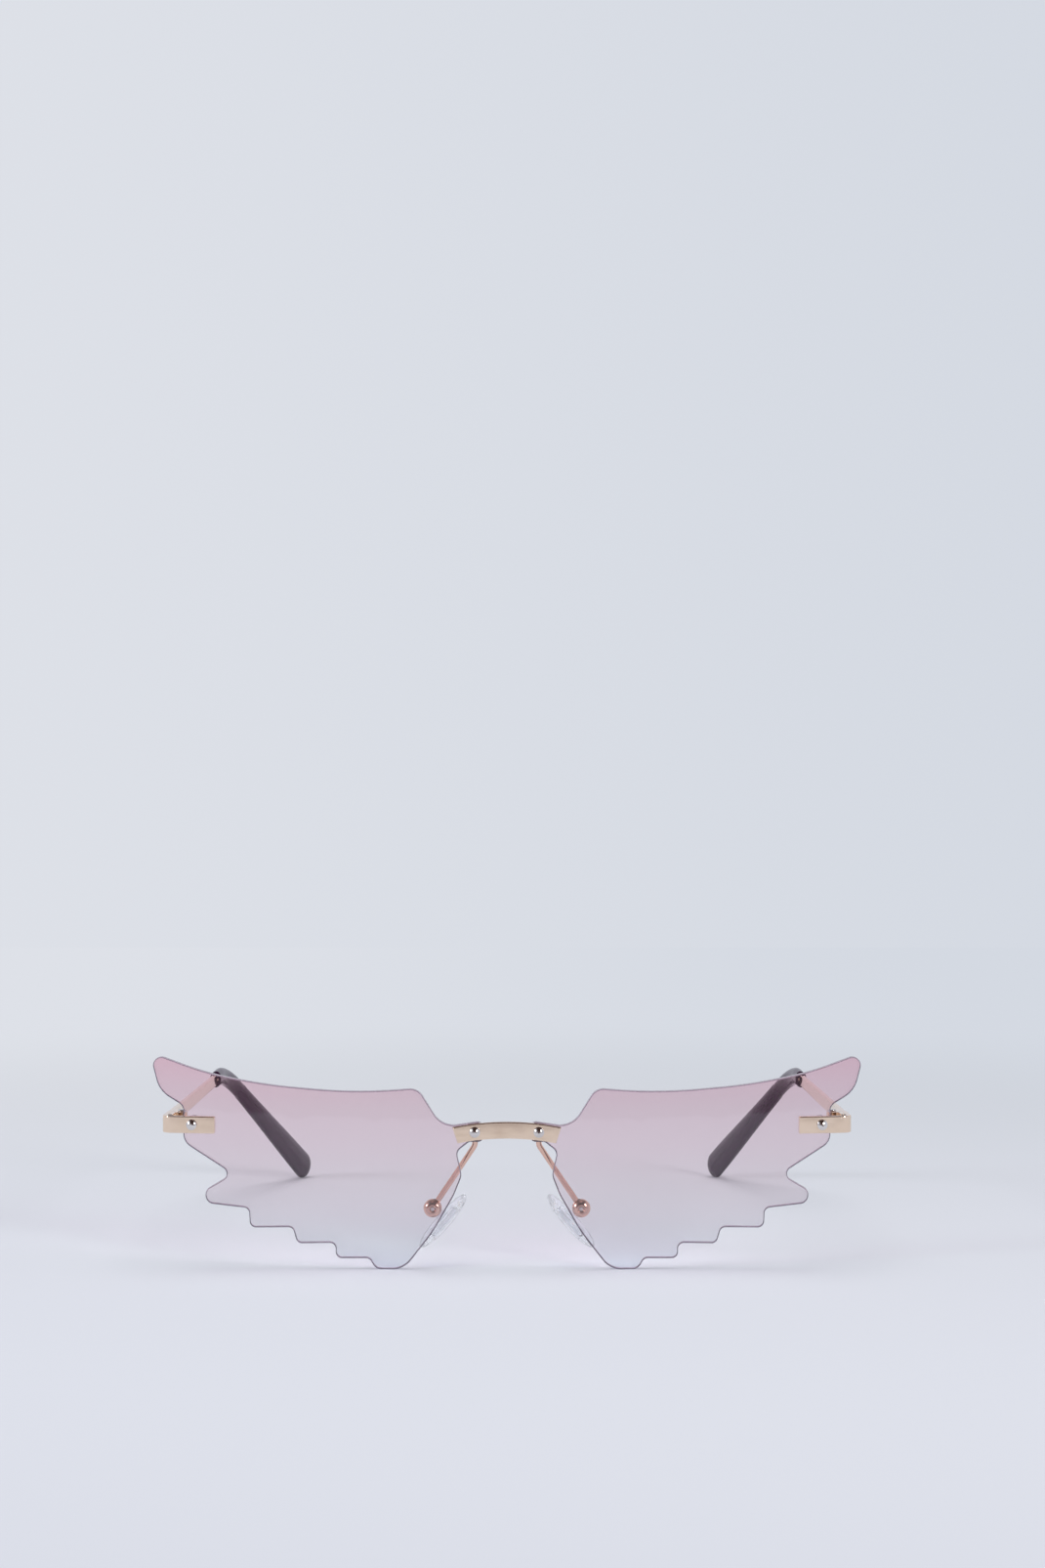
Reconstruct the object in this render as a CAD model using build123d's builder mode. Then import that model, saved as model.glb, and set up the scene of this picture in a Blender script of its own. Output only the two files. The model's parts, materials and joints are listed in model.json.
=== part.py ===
from build123d import *
from math import asin, cos, degrees, hypot, radians, sin, sqrt, tan
import os

# Rimless sunglasses with a pair of feathered wing lenses, standing open on a flat surface.
# X runs across the face, +Y from the lenses back to the ears and +Z up. The origin lies on
# the surface, under the middle of the whole pair. Left and right are as seen from in front.
# The right-hand pieces are modelled and the left-hand ones are their mirror images.
# Lengths are in millimetres and angles in degrees.

os.makedirs("parts", exist_ok=True)

# Lenses
lens_reach = 68.2
lens_height = 44.4
lens_thickness = 1.9
wrap_radius = 500.0
lens_edge_chamfer = 0.2
tab_reach = 1.8
tab_height = 4.4
tab_radius = 1.2

# Radii of the lens outline
bridge_hollow_radius = 4.8
inner_corner_radius = 3.1
brow_radius = 110.0
wing_rise_radius = 60.0
wing_tip_radius = 1.8
wing_cheek_radius = 6.0
wing_neck_radius = 2.0
shoulder_radius = 3.2
feather_notch_radius = 1.4
first_feather_radius = 1.8
feather_tip_radius = 1.35
feather_root_radius = 1.25
lowest_feather_radius = 5.0
lowest_feather_outer_radius = 2.0
nose_curve_radius = 30.0
nose_turn_radius = 14.0
nose_bulge_radius = 3.0
nose_notch_radius = 1.8

# Bridge bar
bridge_screw_spacing = 13.5
bridge_arch_radius = 55.0
bridge_height = 3.5
bridge_top_chord = 22.9
bridge_bottom_chord = 20.7

# Metal strip of the bridge, the endpieces and the temples
strip_thickness = 1.0
strip_edge_chamfer = 0.12
seat_gap = 0.05

# Endpieces
endpiece_height = 3.6
endpiece_inner_length = 4.9
endpiece_outer_length = 6.5
endpiece_bend_radius = 1.5
screw_edge_distance = 2.0
hinge_setback = 7.4

# Lens screws, bushings and nuts
screw_shank_radius = 0.7
screw_head_radius = 1.12
screw_head_rim = 0.25
screw_head_rise = 0.75
fit_clearance = 0.04
bushing_wall = 0.26
bushing_flange_radius = 1.75
bushing_flange_thickness = 0.5
nut_radius = 1.3
nut_height = 1.2
nut_dome_rise = 0.5

# Hinges
knuckle_radius = 1.25
knuckle_gap = 0.08
middle_knuckle_height = 1.24
hinge_height = 3.4
leaf_thickness = 0.9
leaf_length = 4.6
hinge_clearance = 0.1
hinge_end_gap = 0.05
hinge_screw_radius = 0.6
hinge_head_radius = 1.0
hinge_head_height = 0.45
hinge_slot_width = 0.3
hinge_slot_depth = 0.25

# Temples
temple_convergence = 3.5
temple_front_height = 3.2
temple_rear_height = 2.5
temple_straight = 73.0
tip_mouth_lead = 4.0
bar_insertion = 3.0
ear_bend_radius = 26.0
ear_drop_angle = 35.0
ear_inward_angle = 25.0
core_radius = 0.6
core_stop = 14.0

# Temple tips
tip_mouth_width = 2.6
tip_mouth_height = 3.7
tip_bend_width = 2.8
tip_bend_height = 4.0
tip_paddle_width = 3.1
tip_paddle_height = 6.4

# Nose pad arms and boxes
arm_wire_radius = 0.6
arm_eyelet_radius = 1.5
arm_eyelet_thickness = 0.7
arm_drop = 1.4
arm_bend_radius = 1.6
box_across = 9.0
box_back = 7.0
box_drop = 17.2
box_radius = 2.0
box_length = 3.0
box_rim_radius = 0.7
box_slot_width = 1.4
box_slot_reach = 1.15
pad_screw_radius = 0.5
pad_screw_head_radius = 0.85
pad_screw_head_height = 0.4
pad_screw_recess = 0.15

# Nose pads
pad_length = 15.0
pad_width = 7.2
pad_thickness = 2.3
pad_edge_radius = 1.0
pad_tilt = 41.0
pad_splay = 12.0
pad_standoff = 3.6
pad_slide = 0.7
core_plate_length = 8.0
core_plate_width = 3.2
core_plate_thickness = 0.6
lug_thickness = 1.2
lug_radius = 1.0

# Length that cutting shapes run past what they cut
overrun = 1.0

# Where the screws sit on a lens, as shares of its reach and height
bridge_hole_height_share = 0.660
endpiece_hole_height_share = 0.682
shoulder_reach_share = 0.906

# Most of a straight run of the lens outline that the roundings at its two ends may take up
run_fill_share = 0.98

bridge_hole_x = bridge_screw_spacing / 2
bridge_hole_z = bridge_hole_height_share * lens_height
endpiece_hole_x = bridge_hole_x + shoulder_reach_share * lens_reach - screw_edge_distance
endpiece_z = endpiece_hole_height_share * lens_height

# Directions in plan: along the right temple, and outward across it
along_temple = Vector(-sin(radians(temple_convergence)), cos(radians(temple_convergence)), 0)
out_of_temple = Vector(cos(radians(temple_convergence)), sin(radians(temple_convergence)), 0)
up = Vector(0, 0, 1)
across = Vector(1, 0, 0)
backward = Vector(0, 1, 0)


def wrap_setback(x):
    """How far back the front of the lens lies at a distance x from the middle."""
    return wrap_radius - sqrt(wrap_radius**2 - x**2)


# The spine of the temple tip: straight, then round the ear bend, then straight down and in.
ear_direction = Vector(
    -sin(radians(ear_inward_angle)) * cos(radians(ear_drop_angle)),
    cos(radians(ear_inward_angle)) * cos(radians(ear_drop_angle)),
    -sin(radians(ear_drop_angle)),
)
ear_bend_angle = along_temple.get_angle(ear_direction)
ear_bend = radians(ear_bend_angle)
bend_side = (ear_direction - along_temple * cos(ear_bend)) * (1 / sin(ear_bend))
bend_length = ear_bend_radius * ear_bend
tip_ground = tip_paddle_height / 2
bend_fall = -bend_side.Z * ear_bend_radius * (1 - cos(ear_bend))
drop_length = (endpiece_z - tip_ground - bend_fall) / sin(radians(ear_drop_angle))

# The endpiece strip turns back at its corner, and the hinge pivot lies inside its leg.
wrap_angle = degrees(asin(endpiece_hole_x / wrap_radius))
along_lens = Vector(cos(radians(wrap_angle)), sin(radians(wrap_angle)), 0)
lens_front = Vector(sin(radians(wrap_angle)), -cos(radians(wrap_angle)), 0)
pivot_inset = strip_thickness / 2 + leaf_thickness + hinge_clearance + knuckle_radius

# Everything is measured back from the front of the lens at the middle, then shifted so that
# the origin lies under the middle of the whole depth.
hole_from_front = Vector(endpiece_hole_x, wrap_setback(endpiece_hole_x), endpiece_z)
corner_from_front = (
    hole_from_front
    + lens_front * (seat_gap + strip_thickness / 2)
    + along_lens * (endpiece_outer_length - strip_thickness / 2)
)
pivot_from_front = corner_from_front + along_temple * hinge_setback - out_of_temple * pivot_inset


def spine_place(distance):
    """Place and direction on the middle line of the temple, measured back from the pivot."""
    start = pivot_from_front + out_of_temple * pivot_inset + Vector(0, front_y, 0)
    if distance <= temple_straight:
        return start + along_temple * distance, along_temple
    bend_start = start + along_temple * temple_straight
    turned = min(distance - temple_straight, bend_length) / ear_bend_radius
    place = (
        bend_start
        + along_temple * (ear_bend_radius * sin(turned))
        + bend_side * (ear_bend_radius * (1 - cos(turned)))
    )
    direction = along_temple * cos(turned) + bend_side * sin(turned)
    return place + direction * max(distance - temple_straight - bend_length, 0), direction


front_y = 0
spine_length = temple_straight + bend_length + drop_length
front_reach = seat_gap + strip_thickness + screw_head_rise
tip_end_reach = hypot(
    tip_paddle_width / 2 * sin(radians(ear_inward_angle)),
    tip_paddle_height / 2 * cos(radians(ear_inward_angle)),
)
rear_reach = spine_place(spine_length)[0].Y + tip_end_reach
front_y = (front_reach - rear_reach) / 2

bridge_hole = Vector(bridge_hole_x, front_y, bridge_hole_z)
endpiece_hole = hole_from_front + Vector(0, front_y, 0)
corner = corner_from_front + Vector(0, front_y, 0)
pivot = pivot_from_front + Vector(0, front_y, 0)

front_plane = Plane(origin=(0, front_y, 0), x_dir=across, z_dir=-backward)
hinge_plane = Plane(origin=pivot, x_dir=out_of_temple, z_dir=up)
bridge_stack = Plane(origin=bridge_hole, x_dir=across, z_dir=-backward)
endpiece_stack = Plane(origin=endpiece_hole, x_dir=along_lens, z_dir=lens_front)


def profile_plane(stack):
    """Plane through the axis of a screw, with its own Y along that axis, out of the front."""
    return Plane(origin=stack.origin, x_dir=stack.x_dir, z_dir=stack.x_dir.cross(stack.z_dir))


def write_pair(piece, name):
    """Write a right-hand piece and its mirror image."""
    with BuildPart() as twin:
        mirror(piece.part, about=Plane.YZ)
    piece.part.label = name + "_right"
    twin.part.label = name + "_left"
    export_step(piece.part, "parts/" + name + "_right.step")
    export_step(twin.part, "parts/" + name + "_left.step")


def write_both_sides(piece, name):
    """Write a piece together with its mirror image, as two solids in one file."""
    with BuildPart() as group:
        add(piece.part)
        mirror(piece.part, about=Plane.YZ)
    group.part.label = name
    export_step(group.part, "parts/" + name + ".step")


# Lens. Corners of the outline as shares of its reach and height, from the bridge screw and
# from the lowest feather, each with the radius that rounds it.
lens_corner_shares = [
    ((0.101, 0.680), bridge_hollow_radius),
    ((0.176, 0.864), inner_corner_radius),
    ((0.367, 0.840), brow_radius),
    ((0.645, 0.874), brow_radius),
    ((0.836, 0.928), wing_rise_radius),
    ((1.012, 1.023), wing_tip_radius),
    ((0.981, 0.838), wing_cheek_radius),
    ((0.905, 0.768), wing_neck_radius),
    ((0.906, 0.595), shoulder_radius),
    ((0.752, 0.446), feather_notch_radius),
    ((0.839, 0.365), first_feather_radius),
    ((0.834, 0.304), first_feather_radius),
    ((0.701, 0.284), feather_root_radius),
    ((0.698, 0.191), feather_tip_radius),
    ((0.565, 0.196), feather_root_radius),
    ((0.550, 0.119), feather_tip_radius),
    ((0.431, 0.124), feather_root_radius),
    ((0.431, 0.050), feather_tip_radius),
    ((0.327, 0.052), feather_root_radius),
    ((0.306, 0.000), lowest_feather_outer_radius),
    ((0.220, 0.000), lowest_feather_radius),
    ((0.129, 0.180), nose_curve_radius),
    ((0.065, 0.354), nose_turn_radius),
    ((0.040, 0.450), nose_bulge_radius),
    ((0.057, 0.563), nose_notch_radius),
]
tab_x = bridge_hole_x - tab_reach
tab_top = (tab_x, bridge_hole_z + tab_height / 2)
tab_bottom = (tab_x, bridge_hole_z - tab_height / 2)
tab_root = (bridge_hole_x + tab_radius, bridge_hole_z - tab_height / 2)
lens_corners = [
    (bridge_hole_x + reach_share * lens_reach, height_share * lens_height)
    for (reach_share, height_share), radius in lens_corner_shares
]
lens_radii = [radius for shares, radius in lens_corner_shares]
lens_depth = wrap_setback(bridge_hole_x + lens_reach) + lens_thickness


def fitting_radii(corners, radii):
    """Radii of a closed outline, each no larger than the straight runs beside it allow."""
    places = [Vector(*corner) for corner in corners]
    runs = [after - place for place, after in zip(places, places[1:] + places[:1])]
    setbacks = [
        radius * tan(radians(runs[index - 1].get_angle(runs[index])) / 2)
        for index, radius in enumerate(radii)
    ]
    room = [
        run_fill_share * run.length / (setback + next_setback)
        for run, setback, next_setback in zip(runs, setbacks, setbacks[1:] + setbacks[:1])
    ]
    return [radius * min(1, room[index - 1], room[index]) for index, radius in enumerate(radii)]


outline_corners = [tab_top, *lens_corners, tab_root, tab_bottom]
outline_radii = [tab_radius, *lens_radii, tab_radius, tab_radius]

with BuildPart() as lens:
    with BuildSketch(front_plane.offset(overrun)):
        with BuildLine():
            FilletPolyline(
                *outline_corners,
                radius=fitting_radii(outline_corners, outline_radii),
                close=True,
            )
        make_face()
    extrude(amount=-(lens_depth + 2 * overrun))
    with BuildSketch(Plane.XY.offset(-overrun)):
        with Locations((0, front_y + wrap_radius)):
            Circle(wrap_radius)
            Circle(wrap_radius - lens_thickness, mode=Mode.SUBTRACT)
    extrude(amount=lens_height + 2 * overrun, mode=Mode.INTERSECT)
    rims = lens.faces().sort_by(SortBy.AREA)[-2:].edges()
    chamfer(rims, length=lens_edge_chamfer)
    for stack in (bridge_stack, endpiece_stack):
        with Locations(stack):
            Hole(radius=screw_shank_radius + fit_clearance + bushing_wall + fit_clearance)
write_pair(lens, "lens")

# Bridge: a flat bar cut to an arch, with slanted ends, screwed on in front of both lenses.
arch_centre_z = bridge_hole_z - sqrt(bridge_arch_radius**2 - bridge_hole_x**2)


def arch_point(radius, x):
    """Point of an arc about the middle of the arch."""
    return (x, arch_centre_z + sqrt(radius**2 - x**2))


top_radius = bridge_arch_radius + bridge_height / 2
bottom_radius = bridge_arch_radius - bridge_height / 2
top_end = arch_point(top_radius, bridge_top_chord / 2)
bottom_end = arch_point(bottom_radius, bridge_bottom_chord / 2)
with BuildPart() as bridge:
    with BuildSketch(front_plane.offset(seat_gap)):
        with BuildLine():
            ThreePointArc((-top_end[0], top_end[1]), arch_point(top_radius, 0), top_end)
            Line(top_end, bottom_end)
            ThreePointArc(bottom_end, arch_point(bottom_radius, 0), (-bottom_end[0], bottom_end[1]))
            Line((-bottom_end[0], bottom_end[1]), (-top_end[0], top_end[1]))
        make_face()
    extrude(amount=strip_thickness)
    chamfer(bridge.faces().sort_by(Axis.Y)[0].edges(), length=strip_edge_chamfer)
    for hole_x in (-bridge_hole_x, bridge_hole_x):
        with Locations(Plane(origin=(hole_x, front_y, bridge_hole_z), z_dir=-backward)):
            Hole(radius=screw_shank_radius + fit_clearance)
bridge.part.label = "bridge"
export_step(bridge.part, "parts/bridge.step")


def dome_radius(rim_radius, rise):
    """Radius of a dome that rises over a round rim and is level at its top."""
    return (rim_radius**2 + rise**2) / (2 * rise)


def lens_screw(stack, grip):
    """Domed screw whose head sits on the strip and whose shank reaches grip behind it."""
    head_seat = seat_gap + strip_thickness
    with BuildPart() as screw:
        with BuildSketch(profile_plane(stack)):
            with BuildLine():
                Polyline(
                    (0, head_seat + screw_head_rise),
                    (0, head_seat - grip),
                    (screw_shank_radius, head_seat - grip),
                    (screw_shank_radius, head_seat),
                    (screw_head_radius, head_seat),
                    (screw_head_radius, head_seat + screw_head_rim),
                )
                RadiusArc(
                    (screw_head_radius, head_seat + screw_head_rim),
                    (0, head_seat + screw_head_rise),
                    radius=-dome_radius(screw_head_radius, screw_head_rise - screw_head_rim),
                )
            make_face()
        revolve(axis=Axis(stack.origin, stack.z_dir))
    return screw


def bushing(stack, lens_back):
    """Clear flanged sleeve that lines a lens hole, with its flange behind the lens."""
    bore = screw_shank_radius + fit_clearance
    back = -(lens_back + seat_gap)
    with BuildPart() as sleeve:
        with BuildSketch(stack.offset(back)):
            Circle(bore + bushing_wall)
            Circle(bore, mode=Mode.SUBTRACT)
        extrude(amount=lens_thickness)
        with BuildSketch(stack.offset(back)):
            Circle(bushing_flange_radius)
            Circle(bore, mode=Mode.SUBTRACT)
        extrude(amount=-bushing_flange_thickness)
        flange_rim = sleeve.edges().filter_by(GeomType.CIRCLE).sort_by(SortBy.RADIUS)[-2:]
        chamfer(flange_rim, length=strip_edge_chamfer)
    return sleeve


def cap_nut(stack, seat):
    """Domed nut behind the lens, with a blind hole for the screw."""
    bore = screw_shank_radius + fit_clearance
    with BuildPart() as nut:
        with BuildSketch(profile_plane(stack)):
            with BuildLine():
                Polyline(
                    (0, -seat - nut_height - nut_dome_rise),
                    (0, -seat - nut_height),
                    (bore, -seat - nut_height),
                    (bore, -seat),
                    (nut_radius, -seat),
                    (nut_radius, -seat - nut_height),
                )
                RadiusArc(
                    (nut_radius, -seat - nut_height),
                    (0, -seat - nut_height - nut_dome_rise),
                    radius=dome_radius(nut_radius, nut_dome_rise),
                )
            make_face()
        revolve(axis=Axis(stack.origin, stack.z_dir))
    return nut


# Fasteners of the four lens holes. At the bridge the eyelet of a pad arm is clamped as well.
bridge_lens_back = lens_thickness + wrap_setback(bridge_hole_x + bushing_flange_radius)
eyelet_front = bridge_lens_back + seat_gap + bushing_flange_thickness + seat_gap
bridge_nut_seat = eyelet_front + arm_eyelet_thickness + seat_gap
endpiece_nut_seat = lens_thickness + seat_gap + bushing_flange_thickness + seat_gap
head_stack = seat_gap + strip_thickness
bridge_grip = head_stack + bridge_nut_seat + nut_height - seat_gap
endpiece_grip = head_stack + endpiece_nut_seat + nut_height - seat_gap
write_both_sides(lens_screw(bridge_stack, bridge_grip), "bridge_screws")
write_both_sides(lens_screw(endpiece_stack, endpiece_grip), "endpiece_screws")
write_both_sides(bushing(bridge_stack, bridge_lens_back), "bridge_bushings")
write_both_sides(bushing(endpiece_stack, lens_thickness), "endpiece_bushings")
write_both_sides(cap_nut(bridge_stack, bridge_nut_seat), "bridge_nuts")
write_both_sides(cap_nut(endpiece_stack, endpiece_nut_seat), "endpiece_nuts")

# Endpiece: a strip that lies on the front of the lens and turns back to the hinge.
strip_start = (
    endpiece_hole
    + lens_front * (seat_gap + strip_thickness / 2)
    - along_lens * endpiece_inner_length
)
leg_end = corner + along_temple * (hinge_setback - hinge_end_gap)
with BuildPart() as endpiece:
    with BuildSketch(Plane.XY.offset(endpiece_z - endpiece_height / 2)):
        with BuildLine():
            FilletPolyline(
                (strip_start.X, strip_start.Y),
                (corner.X, corner.Y),
                (leg_end.X, leg_end.Y),
                radius=endpiece_bend_radius,
            )
        trace(line_width=strip_thickness)
    extrude(amount=endpiece_height)
    flat_rims = endpiece.faces().filter_by(Axis.Z).edges()
    chamfer(flat_rims, length=strip_edge_chamfer)
    with Locations(endpiece_stack.offset(seat_gap + strip_thickness)):
        Hole(radius=screw_shank_radius + fit_clearance, depth=2 * strip_thickness)
write_pair(endpiece, "endpiece")

# Hinge. In the hinge plane X runs outward, Y back along the temple, and Z is the pin.
strip_inner = pivot_inset - strip_thickness / 2
leaf_inner = strip_inner - leaf_thickness
end_knuckle_height = (hinge_height - middle_knuckle_height - 2 * knuckle_gap) / 2
pin_bore = hinge_screw_radius + fit_clearance

with BuildPart() as front_leaf:
    with BuildSketch(hinge_plane.offset(-hinge_height / 2)):
        with Locations((leaf_inner + leaf_thickness / 2, -hinge_end_gap - leaf_length / 2)):
            Rectangle(leaf_thickness, leaf_length)
    extrude(amount=hinge_height)
    knuckle_floors = (-hinge_height / 2, hinge_height / 2 - end_knuckle_height)
    for floor in knuckle_floors:
        with BuildSketch(hinge_plane.offset(floor)):
            Circle(knuckle_radius)
            with Locations((leaf_inner / 2, -(knuckle_radius + hinge_end_gap) / 2)):
                Rectangle(leaf_inner, knuckle_radius - hinge_end_gap)
        extrude(amount=end_knuckle_height)
    with Locations(hinge_plane):
        Hole(radius=pin_bore)
write_pair(front_leaf, "front_hinge_leaf")

with BuildPart() as rear_leaf:
    with BuildSketch(hinge_plane.offset(-hinge_height / 2)):
        with Locations((leaf_inner + leaf_thickness / 2, hinge_end_gap + leaf_length / 2)):
            Rectangle(leaf_thickness, leaf_length)
    extrude(amount=hinge_height)
    with BuildSketch(hinge_plane.offset(-middle_knuckle_height / 2)):
        Circle(knuckle_radius)
        with Locations((leaf_inner / 2, (knuckle_radius + hinge_end_gap) / 2)):
            Rectangle(leaf_inner, knuckle_radius - hinge_end_gap)
    extrude(amount=middle_knuckle_height)
    with Locations(hinge_plane):
        Hole(radius=pin_bore)
write_pair(rear_leaf, "rear_hinge_leaf")

with BuildPart() as hinge_screw:
    with BuildSketch(hinge_plane.offset(-hinge_height / 2)):
        Circle(hinge_screw_radius)
    extrude(amount=hinge_height)
    with BuildSketch(hinge_plane.offset(hinge_height / 2)):
        Circle(hinge_head_radius)
    extrude(amount=hinge_head_height)
    chamfer(hinge_screw.edges().sort_by(Axis.Z)[-1], length=strip_edge_chamfer)
    with BuildSketch(hinge_plane.offset(hinge_height / 2 + hinge_head_height - hinge_slot_depth)):
        Rectangle(2 * hinge_head_radius + overrun, hinge_slot_width)
    extrude(amount=hinge_slot_depth + overrun, mode=Mode.SUBTRACT)
write_pair(hinge_screw, "hinge_screw")

# Temple: a flat bar that tapers toward the ear, with a round wire core inside the tip.
bar_length = temple_straight - tip_mouth_lead + bar_insertion
bar_plane = Plane(origin=pivot + out_of_temple * pivot_inset, x_dir=along_temple, z_dir=out_of_temple)
core_end = spine_length - core_stop


def spine_plane(distance):
    """Plane across the temple, with its own X level and its own Y in the upright plane."""
    place, direction = spine_place(distance)
    return Plane(origin=place, x_dir=up.cross(direction), z_dir=direction)


def spine_line(start, end):
    """Middle line of the temple between two distances, round the ear bend."""
    bend_end = temple_straight + bend_length
    Line(spine_place(start)[0], spine_place(temple_straight)[0])
    ThreePointArc(
        spine_place(temple_straight)[0],
        spine_place(temple_straight + bend_length / 2)[0],
        spine_place(bend_end)[0],
    )
    Line(spine_place(bend_end)[0], spine_place(end)[0])


with BuildPart() as temple:
    with BuildSketch(bar_plane):
        with BuildLine():
            Polyline(
                (hinge_end_gap, -temple_front_height / 2),
                (hinge_end_gap, temple_front_height / 2),
                (hinge_end_gap + leaf_length, temple_front_height / 2),
                (bar_length, temple_rear_height / 2),
                (bar_length, -temple_rear_height / 2),
                (hinge_end_gap + leaf_length, -temple_front_height / 2),
                close=True,
            )
        make_face()
    extrude(amount=strip_thickness / 2, both=True)
    chamfer(temple.edges().filter_by(lambda edge: edge.length > leaf_length / 2), length=strip_edge_chamfer)
    with BuildLine() as core_path:
        spine_line(bar_length - bar_insertion, core_end)
    with BuildSketch(spine_plane(bar_length - bar_insertion)):
        Circle(core_radius)
    sweep(path=core_path.line)
write_pair(temple, "temple")

# Temple tip: a moulded sleeve along the spine, from an oval mouth round the ear bend to a
# flat paddle with a rounded end.
tip_mouth = temple_straight - tip_mouth_lead
drop_start = temple_straight + bend_length
# Shares of the drop, and of the growth from the bend's oval to the paddle's
paddle_growth_shares = [(0.0, 0.0), (0.33, 0.3), (0.67, 0.72), (1.0, 1.0)]


def tip_oval(distance, width, height):
    """Oval section of the tip at a distance along the spine."""
    with BuildSketch(spine_plane(distance)) as section:
        Ellipse(width / 2, height / 2)
    return section.sketch


def grown(start, end, share):
    """Size that has gone a share of the way from its start to its end."""
    return start + share * (end - start)


paddle_ovals = [
    tip_oval(
        drop_start + drop_share * drop_length,
        grown(tip_bend_width, tip_paddle_width, growth_share),
        grown(tip_bend_height, tip_paddle_height, growth_share),
    )
    for drop_share, growth_share in paddle_growth_shares
]
mouth_oval = tip_oval(tip_mouth, tip_mouth_width, tip_mouth_height)
bend_oval = tip_oval(temple_straight, tip_bend_width, tip_bend_height)
paddle_end = spine_plane(spine_length)

with BuildPart() as temple_tip:
    loft([mouth_oval, bend_oval])
    with BuildLine() as ear_bend_path:
        ThreePointArc(
            spine_place(temple_straight)[0],
            spine_place(temple_straight + bend_length / 2)[0],
            spine_place(drop_start)[0],
        )
    sweep(sections=bend_oval, path=ear_bend_path.line)
    loft(paddle_ovals)
    with BuildSketch(paddle_end):
        Ellipse(tip_paddle_width / 2, tip_paddle_height / 2)
        Rectangle(
            tip_paddle_width, tip_paddle_height, align=(Align.CENTER, Align.MIN), mode=Mode.INTERSECT
        )
    revolve(axis=Axis(paddle_end.origin, paddle_end.x_dir), revolution_arc=180)
    with BuildSketch(bar_plane):
        with Locations(((tip_mouth + bar_length) / 2, 0)):
            Rectangle(bar_insertion + 2 * fit_clearance, temple_rear_height + 4 * fit_clearance)
    extrude(amount=strip_thickness / 2 + fit_clearance, both=True, mode=Mode.SUBTRACT)
    with BuildLine() as bore_path:
        spine_line(bar_length - bar_insertion, core_end + seat_gap)
    with BuildSketch(spine_plane(bar_length - bar_insertion)):
        Circle(core_radius + fit_clearance)
    sweep(path=bore_path.line, mode=Mode.SUBTRACT)
write_pair(temple_tip, "temple_tip")

# Pad box: a round cup with soft rims on a level pin, slotted for the lug of the pad.
box_centre = bridge_hole + Vector(box_across, box_back, -box_drop)
tilt = radians(pad_tilt)
splay = radians(pad_splay)
down_pad = Vector(sin(tilt), 0, -cos(tilt))
toward_nose = Vector(-cos(tilt), 0, -sin(tilt))
box_plane = Plane(origin=box_centre, x_dir=toward_nose, z_dir=-backward)
with BuildPart() as pad_box:
    with BuildSketch(box_plane.offset(-box_length / 2)):
        Circle(box_radius)
    extrude(amount=box_length)
    fillet(pad_box.edges().filter_by(GeomType.CIRCLE), radius=box_rim_radius)
    with BuildSketch(box_plane.offset(-box_slot_width / 2)):
        with Locations(((box_radius + overrun - box_slot_reach) / 2, 0)):
            Rectangle(box_radius + overrun + box_slot_reach, 2 * box_radius + overrun)
    extrude(amount=box_slot_width, mode=Mode.SUBTRACT)
    with Locations(box_plane):
        Hole(radius=pad_screw_radius + fit_clearance)
write_pair(pad_box, "pad_box")

# Pad screw: its head is behind the box, and its end stops just inside the front of the hole.
with BuildPart() as pad_screw:
    with BuildSketch(box_plane.offset(-box_length / 2)):
        Circle(pad_screw_radius)
    extrude(amount=box_length - pad_screw_recess)
    with BuildSketch(box_plane.offset(-box_length / 2)):
        Circle(pad_screw_head_radius)
    extrude(amount=-pad_screw_head_height)
    screw_ends = pad_screw.edges().filter_by(GeomType.CIRCLE).sort_by(Axis.Y)
    chamfer([screw_ends[0], screw_ends[-1]], length=strip_edge_chamfer)
    with BuildSketch(box_plane.offset(hinge_slot_depth - box_length / 2 - pad_screw_head_height)):
        Rectangle(2 * pad_screw_head_radius + overrun, hinge_slot_width)
    extrude(amount=-(hinge_slot_depth + overrun), mode=Mode.SUBTRACT)
write_pair(pad_screw, "pad_screw")

# Pad arm: an eyelet under the bridge nut, and a wire that runs down and out to the pad box.
eyelet_middle = bridge_hole + backward * (eyelet_front + arm_eyelet_thickness / 2)
tongue_length = bushing_flange_radius + 2 * seat_gap + arm_wire_radius
arm_start = eyelet_middle - up * (tongue_length - arm_wire_radius)
arm_turn = arm_start - up * arm_drop
with BuildPart() as pad_arm:
    with BuildLine() as arm_path:
        FilletPolyline(arm_start, arm_turn, box_centre, radius=arm_bend_radius)
    with BuildSketch(Plane(origin=arm_start, x_dir=across, z_dir=-up)):
        Circle(arm_wire_radius)
    sweep(path=arm_path.line)
    with BuildSketch(bridge_stack.offset(-eyelet_front)):
        Circle(arm_eyelet_radius)
        with Locations((0, -tongue_length / 2)):
            Rectangle(2 * arm_wire_radius, tongue_length)
    extrude(amount=-arm_eyelet_thickness)
    with BuildSketch(bridge_stack.offset(-eyelet_front)):
        Circle(screw_shank_radius + fit_clearance)
    extrude(amount=-arm_eyelet_thickness, mode=Mode.SUBTRACT)
    with BuildSketch(box_plane.offset(-box_length)):
        Circle(box_radius + fit_clearance / 2)
    extrude(amount=2 * box_length, mode=Mode.SUBTRACT)
write_pair(pad_arm, "pad_arm")

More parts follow.
